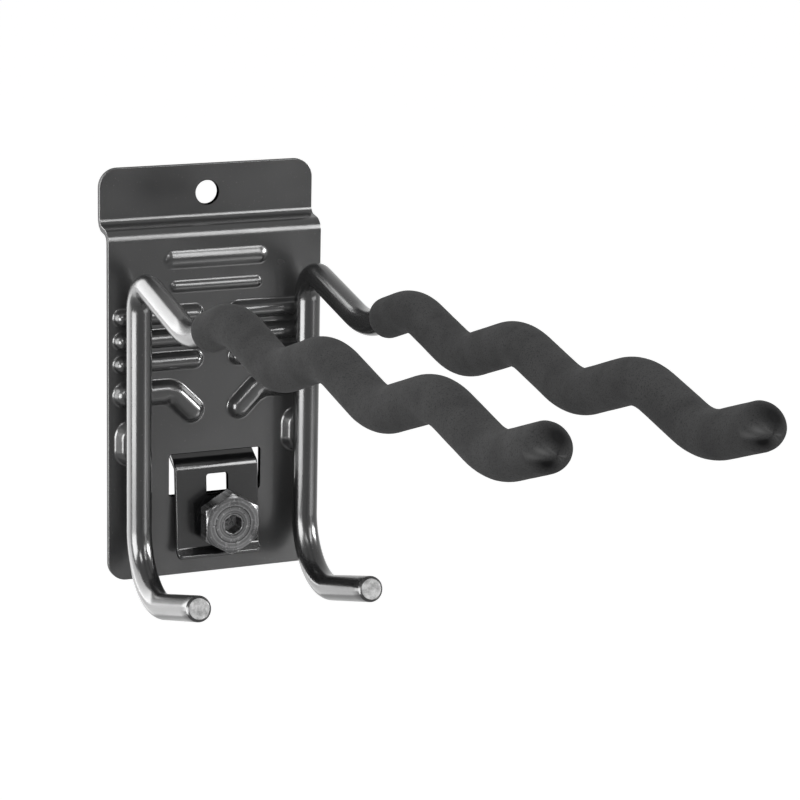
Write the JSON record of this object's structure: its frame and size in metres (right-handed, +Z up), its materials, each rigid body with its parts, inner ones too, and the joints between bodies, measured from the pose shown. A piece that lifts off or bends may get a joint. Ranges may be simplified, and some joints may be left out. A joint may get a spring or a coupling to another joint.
{
  "type": "slatwall hanger bracket",
  "caption": "Pressed steel wall bracket with long wavy foam-covered arms, short upturned prongs and a cam-lifted lock clip, to hang a guitar by its neck.",
  "frame": {"origin": "on the flat back of the plate, which is the wall face, midway across its width and 49 mm above its bottom edge", "axes": "+X to the viewer's right, +Y into the wall, +Z up; the arms reach out along -Y"},
  "size_m": [0.0762, 0.3233, 0.145],
  "materials": {
    "plate_paint": "gloss black powder coat on pressed sheet steel",
    "rod_paint": "gloss black powder coat on bent steel rod",
    "foam": "matt charcoal closed-cell foam with a fine skin",
    "weld_paint": "gloss black powder coat over weld metal",
    "clip_paint": "gloss black coat on folded sheet steel",
    "cam_steel": "dark oxide on turned and milled steel"
  },
  "bodies": {
    "bracket": {"back_plate": "plate_paint", "left_arm_rod": "rod_paint", "right_arm_rod": "rod_paint", "left_arm_foam": "foam", "right_arm_foam": "foam", "left_rod_welds": "weld_paint", "right_rod_welds": "weld_paint"},
    "cam": {"lock_cam": "cam_steel"},
    "clip": {"lock_clip": "clip_paint"}
  },
  "joints": [
    {"name": "cam_turn", "type": "hinge", "parent": "bracket", "child": "cam", "pos_m": [0.0019, 0, -0.0291], "axis": [0, 1, 0], "range_deg": [-45, 45]},
    {"name": "clip_lift", "type": "slide", "parent": "bracket", "child": "clip", "axis": [0, 0, 1], "range_m": [-0.00134, 0.00134]}
  ],
  "couplings": [
    {"joint": "cam_turn", "follows": "clip_lift", "rad_per_m": 584.59}
  ]
}
